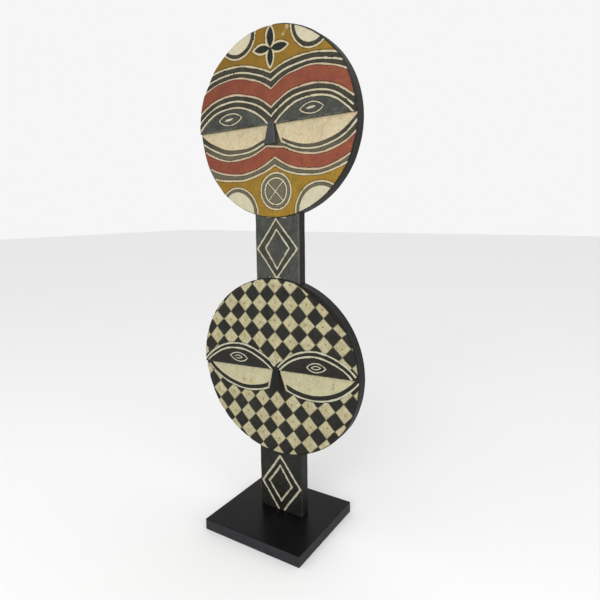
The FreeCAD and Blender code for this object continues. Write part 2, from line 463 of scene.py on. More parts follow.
def store(piece, name, values):
    layer = piece.data.attributes.new(name, "FLOAT", "POINT")
    layer.data.foreach_set("value", np.asarray(values, dtype=np.float32))


def apply_modifiers(piece):
    select_only(piece)
    for modifier in list(piece.modifiers):
        bpy.ops.object.modifier_apply(modifier=modifier.name)


def complete(piece, name, material, degrees=SMOOTH_ANGLE):
    """Smooths a carved piece, paints it, and gives it its name and its place in the frame."""
    select_only(piece)
    bpy.ops.object.shade_smooth_by_angle(angle=math.radians(degrees))
    piece.data.materials.append(material)
    piece.name = name
    piece.data.name = name
    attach(piece, BODY)
    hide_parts(PLANK_NODE)


PAINTED_FIELDS = {"cream", "white", "red", "ochre"}


def round_grid(cells, centre, width, height):
    """A square grid wrapped to an oval, facing forward, in millimetres."""
    deselect_everything()
    bpy.ops.mesh.primitive_grid_add(x_subdivisions=cells, y_subdivisions=cells, size=2)
    piece = bpy.context.active_object
    x, y, _ = points_of(piece).T
    wide = np.abs(x) >= np.abs(y)
    lead = np.where(wide, x, y)
    share = np.divide(np.where(wide, y, x), lead, out=np.zeros_like(x), where=np.abs(lead) > 1e-9)
    angle = share * math.pi / 4
    across = lead * np.where(wide, np.cos(angle), np.sin(angle))
    upright = lead * np.where(wide, np.sin(angle), np.cos(angle))
    turn = np.arctan2(upright, across)
    waves = 2 + np.sin(3 * turn + 0.6) * 0.9 + np.sin(7 * turn + 2.0) * 0.7 + 0.4 * np.sin(17 * turn)
    scale = 1 - 0.0016 * waves * np.hypot(across, upright) ** 2
    points = np.column_stack((centre[0] + across * scale * width / 2, np.zeros_like(x),
                              centre[1] + upright * scale * height / 2))
    move_points(piece, points)
    return piece


def keep_side(piece, start, end, keep_above, lap):
    """Bisects a flat piece along the line from start to end, given as (x, z), and keeps one side."""
    run = Vector((end[0] - start[0], 0, end[1] - start[1])).normalized()
    normal = Vector((-run.z, 0, run.x))
    at = Vector((start[0], 0, start[1])) + normal * lap
    start_edit(piece)
    bpy.ops.mesh.select_all(action="SELECT")
    bpy.ops.mesh.bisect(plane_co=at, plane_no=normal, clear_inner=keep_above, clear_outer=not keep_above)
    end_edit()


def draw_border(piece, steps):
    """Draws the open border of a flat face along y in steps and closes it with one face."""
    start_edit(piece)
    bpy.ops.mesh.select_mode(type="EDGE")
    bpy.ops.mesh.select_non_manifold(extend=False, use_wire=False, use_multi_face=False,
                                     use_non_contiguous=False, use_verts=False)
    for depth in steps:
        bpy.ops.mesh.extrude_edges_move(TRANSFORM_OT_translate={"value": (0, depth, 0)})
    bpy.ops.mesh.edge_face_add()
    bpy.ops.mesh.select_all(action="SELECT")
    bpy.ops.mesh.normals_make_consistent(inside=False)
    end_edit()


def side_marks(place, x, y, z):
    """Points of a disc's side drawn in a little, as left by the knife."""
    turn = np.arctan2(z - place.centre[1], x - place.centre[0])
    inward = 0.13 * np.clip(1.4 + ripple(turn * 170, y * 3, 20, 51), 0, 3)
    scale = 1 - inward / (min(place.size) / 2)
    return place.centre[0] + (x - place.centre[0]) * scale, place.centre[1] + (z - place.centre[1]) * scale


def dressed(x, z):
    """Hollows of the adze on the back."""
    return 0.22 * np.clip(1.5 + ripple(x, z * 0.4, 24, 61) + 0.4 * ripple(x, z * 0.5, 11, 62), 0, 3.4)


def plank_depth(x, z):
    """How far points of the back are inside the plank's outline."""
    lower, upper = lower_disc_place(), upper_disc_place()
    aside = np.abs(x - POST_X)
    neck = np.where((z > lower.centre[1]) & (z < upper.centre[1]), NECK_WIDTH / 2 - aside, -FAR)
    foot = np.where(z < lower.centre[1], FOOT_WIDTH / 2 - aside, -FAR)
    return largest(lower.rim(x, z), upper.rim(x, z), neck, foot)


def carve_back(piece, place):
    """Dresses the back of a disc."""
    sizes = carving_sizes()
    x, y, z = points_of(piece).T
    back = y > -1e-6
    rim = np.maximum(place.rim(x, z), 0)
    depth = plank_depth(x, z)
    side_x, side_z = side_marks(place, x, y, z)
    x, z = np.where(back, x, side_x), np.where(back, z, side_z)
    surface = BACK_Y - DISC_BACK_SUNK - dressed(x, z) - eased(rim, sizes.back_arris)
    store(piece, "inset", np.where(back, np.clip(depth, 0, sizes.paint_lap), NOT_BACK))
    move_points(piece, np.column_stack((x, np.where(back, surface, BACK_Y - DISC_BACK_SUNK + y), z)) * MM)


def carve_face(piece, face, place, keep_above, eye_line):
    """Gives a flat half face its relief, and stores what the paint needs to know."""
    sizes = carving_sizes()
    x, y, z = points_of(piece).T
    u, w = x - place.centre[0] - PATTERN_U, z - place.centre[1]
    fields, above, below = face(u, w)
    rim = np.maximum(place.rim(x, z), 0)
    tools = 0.16 * ripple(u, w, 15, 5) + 0.10 * ripple(u * 2.2, w * 0.8, 9, 6)
    relief = (above if keep_above else below) + tools
    relief -= eased(rim + 0.25 * ripple(u, w, 40, 9), sizes.rim_round)
    (x1, w1), (x2, w2) = eye_line
    rise = w - (w1 + (u - x1) * (w2 - w1) / (x2 - x1))
    if keep_above:
        relief -= eased(np.maximum(rise, 0) + 0.15 * ripple(u, w, 20, 10), sizes.lid_round)
        fields["white"] = np.full_like(w, OUTSIDE)
    front = y < 1e-6
    side = ~front & (rim < 0.5)
    side_x, side_z = side_marks(place, x, y + FIELD_Y - BACK_Y, z)
    points = np.column_stack((np.where(side, side_x, x), np.where(front, FIELD_Y - relief, FIELD_Y + y),
                              np.where(side, side_z, z)))
    for name in PAINTED_FIELDS & set(fields):
        fields[name] = np.where(front, fields[name], NOT_FRONT)
    border = 0.6 + place.border * step(u, 40, 85) * step(w, 85, 112)
    fields["rim"] = np.where(front, rim, NOT_RIM)
    fields["clear"] = np.where(front, rim - border, NOT_RIM)
    fields["rise"] = np.where(front, rise, OFF_LIDS)
    for name, values in fields.items():
        store(piece, name, values)
    move_points(piece, points * MM)


class DiscPlace:
    """A disc in millimetres: its centre as (x, z), its width and height, and its plain border at the right."""

    def __init__(self, centre, size, border):
        self.centre, self.size, self.border = centre, size, border

    def rim(self, x, z):
        """How far points are inside the disc's edge."""
        reach = np.hypot((x - self.centre[0]) / (self.size[0] / 2), (z - self.centre[1]) / (self.size[1] / 2))
        return (1 - reach / OUTLINE_SHARE) * min(self.size) / 2

    def line(self, ends):
        return [(self.centre[0] + PATTERN_U + u, self.centre[1] + w) for u, w in ends]


def lower_disc_place():
    width = (PLANK_HIGH.x - PLANK_LOW.x) / MM
    centre = (PLANK_HIGH.x + PLANK_LOW.x) / 2 / MM, BASE_TOP_Z + FOOT_HEIGHT + LOWER_DISC_HEIGHT / 2
    return DiscPlace(centre, (width, LOWER_DISC_HEIGHT), LOWER_BORDER)


def upper_disc_place():
    centre = UPPER_DISC_X, PLANK_HIGH.z / MM - UPPER_DISC_SIZE[1] / 2
    return DiscPlace(centre, UPPER_DISC_SIZE, UPPER_BORDER)


def build_half_disc(name, place, face, eye_line, keep_above, material):
    """The brow or the cheeks of a face, split from each other along its eye line."""
    piece = round_grid(FACE_CELLS, place.centre, *place.size)
    start, end = place.line(eye_line)
    keep_side(piece, start, end, keep_above, 0 if keep_above else UNDERLAP)
    draw_border(piece, FACE_STEPS + (MIDDLE_Y - FIELD_Y - 10.0,))
    carve_face(piece, face, place, keep_above, eye_line)
    complete(piece, name, material)


def build_disc_back(name, place, material):
    """The rear half of a disc's thickness."""
    piece = round_grid(BACK_CELLS, place.centre, *place.size)
    depth = BACK_Y - DISC_BACK_SUNK - MIDDLE_Y
    draw_border(piece, BACK_STEPS + (10.0 - depth,))
    carve_back(piece, place)
    complete(piece, name, material)


# ---------------------------------------------------------------------------------------------------------
# Noses and posts


NoseShape = namedtuple("NoseShape", "middle_u foot_u top_w foot_w top_half foot_half top_proud foot_proud")
UPPER_NOSE = NoseShape(-0.5, -4.4, 7, -34, 7.0, 16.6, 4.6, 5.6)
LOWER_NOSE = NoseShape(0.0, -0.6, 4, -44, 6.6, 19.0, 3.3, 4.4)
NOSE_BEVEL = 1.6


def build_nose(name, place, shape, material):
    """A tapered wedge: a cube drawn to its corners, bevelled and smoothed."""
    deselect_everything()
    bpy.ops.mesh.primitive_cube_add(size=2)
    piece = bpy.context.active_object
    points = points_of(piece)
    middle_x = place.centre[0] + PATTERN_U + shape.middle_u
    top, front = points[:, 2] > 0, points[:, 1] < 0
    lean = np.where(top, 0, shape.foot_u - shape.middle_u)
    half = np.where(top, shape.top_half, shape.foot_half) * np.where(front, 0.72, 1.02)
    proud = np.where(top, shape.top_proud, shape.foot_proud)
    y = np.where(front, FIELD_Y - proud, FIELD_Y + 4)
    z = place.centre[1] + np.where(top, shape.top_w, shape.foot_w + np.where(front, 0.8, -0.4))
    move_points(piece, np.column_stack((middle_x + lean + points[:, 0] * half, y, z)) * MM)
    start_edit(piece)
    bpy.ops.mesh.select_all(action="SELECT")
    bpy.ops.mesh.subdivide(number_cuts=7)
    end_edit()
    points = points_of(piece) / MM
    side = np.abs(points[:, 0] - middle_x)
    fall = (points[:, 2] - place.centre[1] - shape.foot_w) / (shape.top_w - shape.foot_w)
    belly = 1.0 - 1.5 * (side / shape.foot_half) ** 2 - 0.5 * np.clip(fall, 0, 1)
    points[:, 1] -= np.where(points[:, 1] < FIELD_Y - 1, belly, 0)
    move_points(piece, points * MM)
    bevel = piece.modifiers.new("Rounded arrises", "BEVEL")
    bevel.width, bevel.segments = NOSE_BEVEL * MM, 3
    bevel.limit_method, bevel.angle_limit = "ANGLE", math.radians(35)
    fine = piece.modifiers.new("Smooth", "SUBSURF")
    fine.levels = fine.render_levels = 2
    apply_modifiers(piece)
    complete(piece, name, material, 60)


def diamond(top, left, foot, right):
    return [Cut(top, left), Cut(left, foot), Cut(foot, right), Cut(right, top)]


PostPattern = namedtuple("PostPattern", "cuts faint_cuts diamonds seed")
NECK_PATTERN = PostPattern(
    cuts=(
        diamond((1, 588), (-42, 532.5), (1, 478), (47, 535))
        + diamond((1.5, 569), (-23, 534), (2, 496), (30, 535))
    ),
    faint_cuts=[Cut((-20, 590.9), (-5, 590.2)), Cut((12, 590.4), (24, 591.1)), Cut((-16, 479.8), (20, 479.4))],
    diamonds=((2.5, 533, 44.5, 55), (3, 533, 26.5, 36.5)),
    seed=31,
)
FOOT_PATTERN = PostPattern(
    cuts=diamond((1, 97), (-26, 57.5), (2, 21), (29, 58)) + [
        Cut((1, 118), (-42.5, 54)), Cut((-42.5, 54), (-5, 2.5)),
        Cut((10, 2.5), (49, 59)), Cut((49, 59), (1, 118)),
    ],
    faint_cuts=[],
    diamonds=((3, 58.5, 46, 59.5), (2, 58.5, 27.5, 38)),
    seed=41,
)


def inside_diamond(x, z, shape):
    """Roughly how far points are inside a diamond given by its middle and its half width and height."""
    middle_x, middle_z, half_width, half_height = shape
    return (1 - np.abs(x - middle_x) / half_width - np.abs(z - middle_z) / half_height) * half_width


def build_post(name, width, low_z, high_z, pattern, line, material):
    """A post whose front face is a fine grid, cut with its pattern and eased along its arrises."""
    sizes, seed = carving_sizes(), pattern.seed
    deselect_everything()
    across, upright = int(width / POST_CELL), int((high_z - low_z) / POST_CELL)
    bpy.ops.mesh.primitive_grid_add(x_subdivisions=across, y_subdivisions=upright, size=2)
    piece = bpy.context.active_object
    x, y, _ = points_of(piece).T
    middle_z = (low_z + high_z) / 2
    move_points(piece, np.column_stack((POST_X + x * width / 2, 0 * x, middle_z + y * (high_z - low_z) / 2)))
    depth = BACK_Y - POST_FACE_Y
    start_edit(piece)
    bpy.ops.mesh.select_all(action="SELECT")
    bpy.ops.mesh.extrude_region_move(TRANSFORM_OT_translate={"value": (0, depth, 0)})
    for share in (0.2, 0.4, 0.6, 0.8):
        bpy.ops.mesh.select_all(action="SELECT")
        bpy.ops.mesh.bisect(plane_co=(0, depth * share, 0), plane_no=(0, 1, 0))
    bpy.ops.mesh.select_all(action="SELECT")
    bpy.ops.mesh.normals_make_consistent(inside=False)
    end_edit()
    x, y, z = points_of(piece).T
    front, back = y < 1e-3, y > depth - 1e-3
    u, w = hand_drawn(x, z - BASE_TOP_Z, seed)
    distance = nearest(pattern.cuts, u, w)
    if pattern.faint_cuts:
        distance = np.minimum(distance, nearest(pattern.faint_cuts, u, w) + 0.9)
    outer, inner = (inside_diamond(u, w, shape) for shape in pattern.diamonds)
    side = width / 2 - np.abs(x - POST_X)
    end = np.minimum(z - low_z, high_z - z) if low_z > BASE_TOP_Z else high_z - z
    relief = -groove(distance, 2.2, 1.2) - eased(np.maximum(side + 0.3 * ripple(x, z, 45, seed), 0), 1.8)
    relief += 0.15 * ripple(x, z, 17, seed + 4) - 0.35
    rear = BACK_Y - dressed(x, z) - eased(np.maximum(side, 0), sizes.back_arris) - 0.5 * (1 - step(end, 0, 8))
    flank = ~front & ~back & (side < 0.5)
    inward = 0.13 * np.clip(1.2 + ripple(z, y * 3, 24, seed + 6), 0, 3) * np.sign(POST_X - x)
    carved_y = np.where(front, POST_FACE_Y - relief, np.where(back, rear, POST_FACE_Y + y))
    move_points(piece, np.column_stack((x + np.where(flank, inward, 0), carved_y, z)) * MM)
    cream = line - distance + 0.25 * ripple(x, z, 16, seed + 8)
    store(piece, "cream", np.where(front, cream, NOT_FRONT))
    store(piece, "cut", np.where(front, distance, 9.0))
    store(piece, "between", np.where(front, np.minimum(outer, -inner), NOT_FRONT))
    store(piece, "rim", np.where(front, side, NOT_RIM))
    store(piece, "inset", np.where(back, np.clip(plank_depth(x, z), 0, sizes.paint_lap), NOT_BACK))
    complete(piece, name, material)


# ---------------------------------------------------------------------------------------------------------
# Shader maths


class Value:
    """A number or vector that varies over a surface. Python operators on it add Math nodes."""

    def __init__(self, shade, socket):
        self.shade, self.socket = shade, socket

    def _math(self, operation, *others):
        return self.shade.add("ShaderNodeMath", {"operation": operation}, dict(enumerate((self,) + others)))

    def __add__(self, other):
        return self._math("ADD", other)

    def __sub__(self, other):
        return self._math("SUBTRACT", other)

    def __mul__(self, other):
        return self._math("MULTIPLY", other)

    def __rsub__(self, other):
        return self * -1 + other

    __radd__ = __add__
    __rmul__ = __mul__

    def maximum(self, other):
        return self._math("MAXIMUM", other)

    def ramp(self, low, high):
        """0 at low, 1 at high, eased between them."""
        inputs = {"Value": self, "From Min": low, "From Max": high}
        return self.shade.add("ShaderNodeMapRange", {"interpolation_type": "SMOOTHSTEP"}, inputs)


class Shade:
    """One material, whose nodes are all added by its add method."""

    def __init__(self, name):
        self.material = bpy.data.materials.new(name)
        self.material.use_nodes = True
        self.tree = self.material.node_tree
        self.tree.nodes.clear()

    def add(self, kind, settings=None, inputs=None, output=0):
        node = self.tree.nodes.new(kind)
        for name, setting in (settings or {}).items():
            setattr(node, name, setting)
        for name, item in (inputs or {}).items():
            if isinstance(item, Value):
                self.tree.links.new(item.socket, node.inputs[name])
            else:
                node.inputs[name].default_value = item
        return Value(self, node.outputs[output]) if node.outputs else None

    def here(self):
        """The point on the piece, in metres."""
        return self.add("ShaderNodeTexCoord", output="Object")

    def stretched(self, x, y, z):
        """The point on the piece with its three directions scaled, for grain and brush strokes."""
        return self.add("ShaderNodeMapping", inputs={"Vector": self.here(), "Scale": (x, y, z)})

    def noise(self, scale, detail=3.0, roughness=0.5, vector=None):
        inputs = {"Vector": vector or self.here(), "Scale": scale, "Detail": detail, "Roughness": roughness}
        return self.add("ShaderNodeTexNoise", {"noise_dimensions": "3D"}, inputs)

    def fibres(self):
        """Fine upright fibres that show through every paint."""
        narrow = self.noise(1.0, 4.0, 0.6, self.stretched(900, 900, 38))
        broad = self.noise(1.0, 3.0, 0.5, self.stretched(160, 160, 12))
        return narrow * 0.65 + broad * 0.35

    def field(self, name):
        """A number stored on the mesh's points."""
        settings = {"attribute_type": "GEOMETRY", "attribute_name": name}
        return self.add("ShaderNodeAttribute", settings, output="Fac")

    def mix(self, share, first, second):
        """The first colour, and as much of the second as the share says."""
        settings = {"data_type": "RGBA", "clamp_factor": True}
        return self.add("ShaderNodeMix", settings, {0: share, 6: first, 7: second}, output=2)

    def bump(self, height, distance, strength):
        return self.add("ShaderNodeBump", inputs={"Height": height, "Distance": distance, "Strength": strength})

    def finish(self, **sockets):
        """The surface, from the shader's own sockets."""
        inputs = {name.replace("_", " "): item for name, item in sockets.items()}
        surface = self.add("ShaderNodeBsdfPrincipled", inputs=inputs)
        self.add("ShaderNodeOutputMaterial", inputs={"Surface": surface})
        return self.material


def rgb(colour):
    return (colour[0], colour[1], colour[2], 1.0)


def darker(colour, share):
    return (colour[0] * share, colour[1] * share, colour[2] * share, 1.0)


# ---------------------------------------------------------------------------------------------------------
# Finishes


# Share of the black paint's lightness on the sides and the lower nose
UPPER_SIDE, LOWER_SIDE, NECK_SIDE, FOOT_SIDE = 0.8, 0.45, 0.35, 0.7
LOWER_NOSE_SHARE = 0.8
PAINT_GLOSS, POST_GLOSS, LACQUER_GLOSS, UPPER_NOSE_GLOSS, LOWER_NOSE_GLOSS = 0.16, 0.2, 0.09, 0.45, 0.16
PAINT_RELIEF, PAINT_RELIEF_STRENGTH = 0.0005, 0.9


class Coat(Shade):
    """A painted wood, with the noises that all its colours share."""

    def __init__(self, name):
        super().__init__(name)
        self.grain = self.fibres()
        self.cloud = self.noise(28, 4.0, 0.55)
        self.fine = self.noise(420, 4.0, 0.6)

    def ragged(self):
        """How far the edge of a painted field strays, in millimetres."""
        return (self.noise(230, 3.0, 0.6) - 0.5) * 1.7

    def surface(self, colour, roughness, relief, gloss):
        normal = self.bump(relief, PAINT_RELIEF, PAINT_RELIEF_STRENGTH)
        return self.finish(Base_Color=colour, Roughness=roughness, Normal=normal, Specular_IOR_Level=gloss)


def bare_back(shade, colour, wood):
    """Unpainted wood of the back, with the side paint lapping over its edge. Gives the colour and its share."""
    tide = shade.noise(90, 4.0, 0.6)
    share = (shade.field("inset") + (tide - 0.5) * 12).ramp(3.4, 4.6)
    rings = shade.noise(1.0, 3.0, 0.6, shade.stretched(70, 20, 5))
    timber = shade.mix(rings.ramp(0.3, 0.7), darker(wood, 0.62), darker(wood, 1.2))
    timber = shade.mix(shade.grain.ramp(0.42, 0.62), timber, darker(wood, 0.5))
    timber = shade.mix(shade.noise(22, 5.0, 0.6).ramp(0.5, 0.75) * 0.6, timber, darker(wood, 0.38))
    return shade.mix(share, colour, timber), share


def chisel_marks(shade):
    """Shallow overlapping scallops, longer than they are wide."""
    return shade.noise(1.0, 1.0, 0.4, shade.stretched(75, 75, 26))


def mottling(shade):
    """Blotches a few millimetres across, as a thin coat leaves over hand-cut wood."""
    return shade.noise(210, 3.0, 0.6).ramp(0.44, 0.62)


def chalk(shade, cream, blush, stain):
    """Cream paint: softly blotched, thin over the fibres, with a few specks of dirt."""
    blotch = shade.noise(75, 5.0, 0.62)
    warm = shade.noise(38, 4.0, 0.6)
    pits = shade.noise(130, 3.0, 0.6).ramp(0.66, 0.72)
    specks = shade.noise(330, 2.0, 0.5).ramp(0.67, 0.73)
    colour = shade.mix(shade.cloud.ramp(0.3, 0.7), rgb(cream), darker(cream, 0.88))
    colour = shade.mix(warm.ramp(0.48, 0.68) * 0.5, colour, rgb(blush))
    colour = shade.mix(blotch.ramp(0.5, 0.72) * 0.5, colour, rgb(stain))
    colour = shade.mix(shade.grain.ramp(0.5, 0.72) * 0.12, colour, rgb(stain))
    colour = shade.mix(shade.fine.ramp(0.60, 0.72) * 0.25, colour, darker(stain, 0.7))
    colour = shade.mix(mottling(shade) * 0.22, colour, darker(stain, 0.8))
    colour = shade.mix(pits * 0.5, colour, darker(stain, 0.6))
    return shade.mix(specks * 0.8, colour, darker(stain, 0.3))


def worn_black(shade, black):
    """Dull black paint, dusty in places and faintly rubbed along the fibres."""
    blotch = shade.noise(85, 5.0, 0.65)
    rubbed = shade.noise(42, 5.0, 0.68)
    streaks = shade.noise(1.0, 3.0, 0.55, shade.stretched(330, 330, 28))
    colour = shade.mix(shade.cloud.ramp(0.3, 0.7), darker(black, 0.7), darker(black, 1.15))
    colour = shade.mix(blotch.ramp(0.48, 0.72) * 0.5, colour, darker(black, 2.1))
    colour = shade.mix(rubbed.ramp(0.5, 0.72) * 0.5, colour, darker(black, 2.0))
    colour = shade.mix(mottling(shade) * 0.32, colour, darker(black, 1.9))
    colour = shade.mix(streaks.ramp(0.55, 0.75) * 0.28, colour, darker(black, 2.2))
    colour = shade.mix(shade.grain.ramp(0.52, 0.72) * 0.2, colour, darker(black, 2.2))
    return shade.mix(shade.fine.ramp(0.64, 0.72) * 0.3, colour, darker(black, 3.2))


def coloured(shade, paint, warm, shift):
    """A coloured field: brushed thin over black, scratched and specked."""
    blotch = shade.noise(70 + shift, 6.0, 0.66)
    hue = shade.noise(34 + shift, 4.0, 0.6)
    strokes = shade.noise(1.0, 4.0, 0.6, shade.stretched(45, 45, 420))
    colour = shade.mix(hue.ramp(0.38, 0.62), rgb(paint), rgb(warm))
    colour = shade.mix(shade.cloud.ramp(0.35, 0.65) * 0.25, colour, darker(paint, 0.4))
    colour = shade.mix(blotch.ramp(0.48, 0.72) * 0.55, colour, darker(paint, 0.58))
    colour = shade.mix(strokes.ramp(0.5, 0.7) * 0.35, colour, darker(warm, 0.5))
    colour = shade.mix(mottling(shade) * 0.3, colour, darker(paint, 0.5))
    colour = shade.mix(shade.grain.ramp(0.5, 0.72) * 0.35, colour, darker(paint, 0.5))
    return shade.mix(shade.fine.ramp(0.64, 0.72) * 0.45, colour, darker(paint, 0.25))


def upper_colours(shade, colour, paint, edge):
    """Lids, dust, ochre and red over the black bands. Gives the colour, and how near the ochre and the red are."""
    lid_share = (shade.field("lid") + edge).ramp(-0.5, 0.5)
    colour = shade.mix(lid_share, colour, worn_black(shade, paint.charcoal))
    colour = shade.mix(shade.field("petal").ramp(0.0, 1.0), colour, worn_black(shade, paint.foot))
    colour = shade.mix(shade.field("dust") * (0.16 + shade.fine * 0.38), colour, darker(paint.cream, 0.5))
    tone = (1.1 - shade.field("tone")) * 1.8
    ochre_field, red_field = shade.field("ochre"), shade.field("red")
    ochre = coloured(shade, paint.ochre, paint.ochre_warm, 0)
    ochre = shade.mix(tone, ochre, darker(paint.ochre_warm, 0.45))
    colour = shade.mix((ochre_field + edge).ramp(-0.3, 0.3), colour, ochre)
    red = coloured(shade, paint.red, paint.red_warm, 20)
    red = shade.mix(tone * 0.8, red, darker(paint.red, 0.5))
    colour = shade.mix((red_field + edge).ramp(-0.3, 0.3), colour, red)
    smear = shade.field("smear").ramp(0.0, 4.2) * shade.noise(150, 3.0, 0.6).ramp(0.35, 0.6)
    colour = shade.mix(smear * 0.55, colour, rgb(paint.cream))
    return colour, ochre_field.ramp(-2.5, 1.0), red_field.ramp(-2.5, 1.0)


def upper_chalk(shade, cream, paint, white_share, near_ochre, near_red):
    """Cream of the upper face, greyer in its lines and tinted there by the colours beside them."""
    chalky = chalk(shade, cream, paint.blush, paint.stain)
    lined = shade.mix(0.55, chalky, rgb(paint.pale))
    lined = shade.mix(near_red * 0.28, lined, darker(paint.red_warm, 1.7))
    lined = shade.mix(near_ochre * 0.2, lined, darker(paint.ochre, 1.9))
    return shade.mix(white_share, lined, chalky)


def lower_chalk(shade, cream, paint, white_share, edge):
    """Cream of the lower face, dirty on its checks, each of which is pecked in its middle."""
    chalky = chalk(shade, cream, paint.thin, paint.drab)
    line = shade.field("line").ramp(0.0, 0.4) * (1 - white_share)
    checked = (1 - white_share) * (1 - line)
    dirt = shade.noise(150, 5.0, 0.7).ramp(0.42, 0.64) * checked
    soil = shade.noise(34, 5.0, 0.7).ramp(0.45, 0.65) * checked
    chalky = shade.mix(line * 0.8, chalky, rgb(paint.pale))
    chalky = shade.mix(soil * 0.4, chalky, rgb(paint.drab))
    chalky = shade.mix(dirt * 0.55, chalky, rgb(paint.drab))
    dot = shade.field("dot")
    halo = (1 - dot.ramp(2.0, 9.0)) * shade.noise(190, 3.0, 0.6).ramp(0.42, 0.6)
    chalky = shade.mix(halo * 0.6, chalky, rgb(paint.peck))
    pecks = 1 - (dot + edge * 1.8).ramp(0.8, 2.6)
    return shade.mix(pecks * 0.75, chalky, darker(paint.drab, 0.4))


def painted_face(name, black, cream, side_share, paint, has_colours):
    """Black paint under coloured fields, with cream rubbed into the cuts."""
    shade = Coat(name)
    edge = shade.ragged()
    rise = shade.field("rise")

    colour = worn_black(shade, black)
    if has_colours:
        colour, near_ochre, near_red = upper_colours(shade, colour, paint, edge)
    # Painted highlight: lighter grey along the rounded lower edge of the lids, where the step would catch light.
    lid_edge_highlight = rise.ramp(-0.1, 0.3) * (1 - (rise + edge * 0.8).ramp(0.8, 2.8))
    lid_edge_highlight = lid_edge_highlight * shade.noise(60, 4.0, 0.6).ramp(0.4, 0.55)
    colour = shade.mix(lid_edge_highlight * 0.6, colour, darker(paint.charcoal, 4.0 if has_colours else 1.5))
    # Painted shade: the black is darkened beside each cut, where the edges of the groove fall into shadow.
    groove_edge_shade = 1 - (shade.field("cut") + edge * 0.5).ramp(1.9, 3.5)
    colour = shade.mix(groove_edge_shade * 0.85, colour, darker(black, 0.5))
    clear = (shade.field("clear") + edge * 1.2).ramp(0.0, 1.6)
    colour = shade.mix(clear, worn_black(shade, darker(paint.black, side_share)), colour)

    missing = (shade.noise(120, 5.0, 0.7) - 0.55).ramp(0.0, 0.10)
    white_share = (shade.field("white") + edge * 0.5).ramp(-0.25, 0.25)
    line_share = (shade.field("cream") + edge * 0.6 - missing * 0.8).ramp(-0.3, 0.35)
    if has_colours:
        chalky = upper_chalk(shade, cream, paint, white_share, near_ochre, near_red)
    else:
        scratch = (1 - (shade.field("scratch") + edge * 0.3).ramp(0.3, 1.0)) * clear
        colour = shade.mix(scratch * 0.5, colour, darker(paint.drab, 0.8))
        chalky = lower_chalk(shade, cream, paint, white_share, edge)
    cream_share = line_share.maximum(white_share) * clear
    colour = shade.mix(cream_share, colour, chalky)

    roughness = 0.48 + shade.cloud * 0.12 + cream_share * 0.2 + (shade.fine - 0.5) * 0.2
    relief = shade.grain * 0.5 + shade.fine * 0.3 + cream_share * 0.35 + shade.cloud * 0.4
    return shade.surface(colour, roughness, relief + chisel_marks(shade) * 0.6, PAINT_GLOSS)


def plank_back(name, side_share, paint):
    """Black sides lapping over a bare, dressed back."""
    shade = Coat(name)
    colour, bare = bare_back(shade, worn_black(shade, darker(paint.black, side_share)), paint.wood)
    roughness = 0.48 + shade.cloud * 0.12 + (shade.fine - 0.5) * 0.2 + bare * 0.15
    relief = shade.grain * 0.5 + shade.fine * 0.3 + shade.cloud * 0.4
    return shade.surface(colour, roughness, relief + chisel_marks(shade) * (0.6 + bare * 1.2), PAINT_GLOSS)


def painted_post(name, black, band, side_share, paint):
    """Black paint, cream in its cuts, browner between the diamonds, lighter grey along the arrises as rubbed paint
    and painted highlight, and darkened beside the cuts as painted shade.
    """
    shade = Coat(name)
    edge = shade.ragged()
    rim = shade.field("rim")
    colour = worn_black(shade, black)
    # Lighter grey along the arrises: rubbed paint, and a painted highlight where the eased edges catch light.
    arris_wear_and_highlight = (rim + edge).ramp(-0.6, 0.4) * (1 - (rim + edge).ramp(1.2, 2.6))
    colour = shade.mix(arris_wear_and_highlight * 0.5, colour, darker(black, 2.6))
    between = (shade.field("between") + edge).ramp(-0.4, 0.6)
    colour = shade.mix(between * 0.85, colour, worn_black(shade, band))
    # Painted shade: the black is darkened beside each cut, where the edges of the groove fall into shadow.
    groove_edge_shade = 1 - (shade.field("cut") + edge * 0.5).ramp(1.8, 3.2)
    colour = shade.mix(groove_edge_shade * 0.7, colour, darker(black, 0.4))
    side = worn_black(shade, darker(paint.black, side_share))
    colour = shade.mix(1 - (rim + edge).ramp(-1.9, -1.0), colour, side)
    missing = (shade.noise(120, 5.0, 0.7) - 0.56).ramp(0.0, 0.10)
    cream_share = (shade.field("cream") + edge * 0.6 - missing).ramp(-0.25, 0.3)
    colour = shade.mix(cream_share, colour, chalk(shade, paint.pale, paint.line, paint.drab))
    colour, bare = bare_back(shade, colour, paint.wood)
    roughness = 0.46 + shade.cloud * 0.14 + cream_share * 0.2 + (shade.fine - 0.5) * 0.2 + bare * 0.15
    relief = shade.grain * 0.5 + shade.fine * 0.3 + cream_share * 0.3 + shade.cloud * 0.4
    return shade.surface(colour, roughness, relief + chisel_marks(shade) * (0.6 + bare * 1.2), POST_GLOSS)


def satin_black(name, black, gloss):
    """Smooth handled black of the noses."""
    shade = Shade(name)
    cloud, grain = shade.noise(45, 4.0, 0.55), shade.fibres()
    colour = shade.mix(cloud.ramp(0.3, 0.7), darker(black, 0.7), darker(black, 1.15))
    colour = shade.mix(grain.ramp(0.5, 0.75) * 0.35, colour, darker(black, 1.8))
    roughness = 0.24 + cloud * 0.2
    normal = shade.bump(grain * 0.5 + cloud * 0.5, 0.0004, 0.8)
    return shade.finish(Base_Color=colour, Roughness=roughness, Normal=normal, Specular_IOR_Level=gloss)


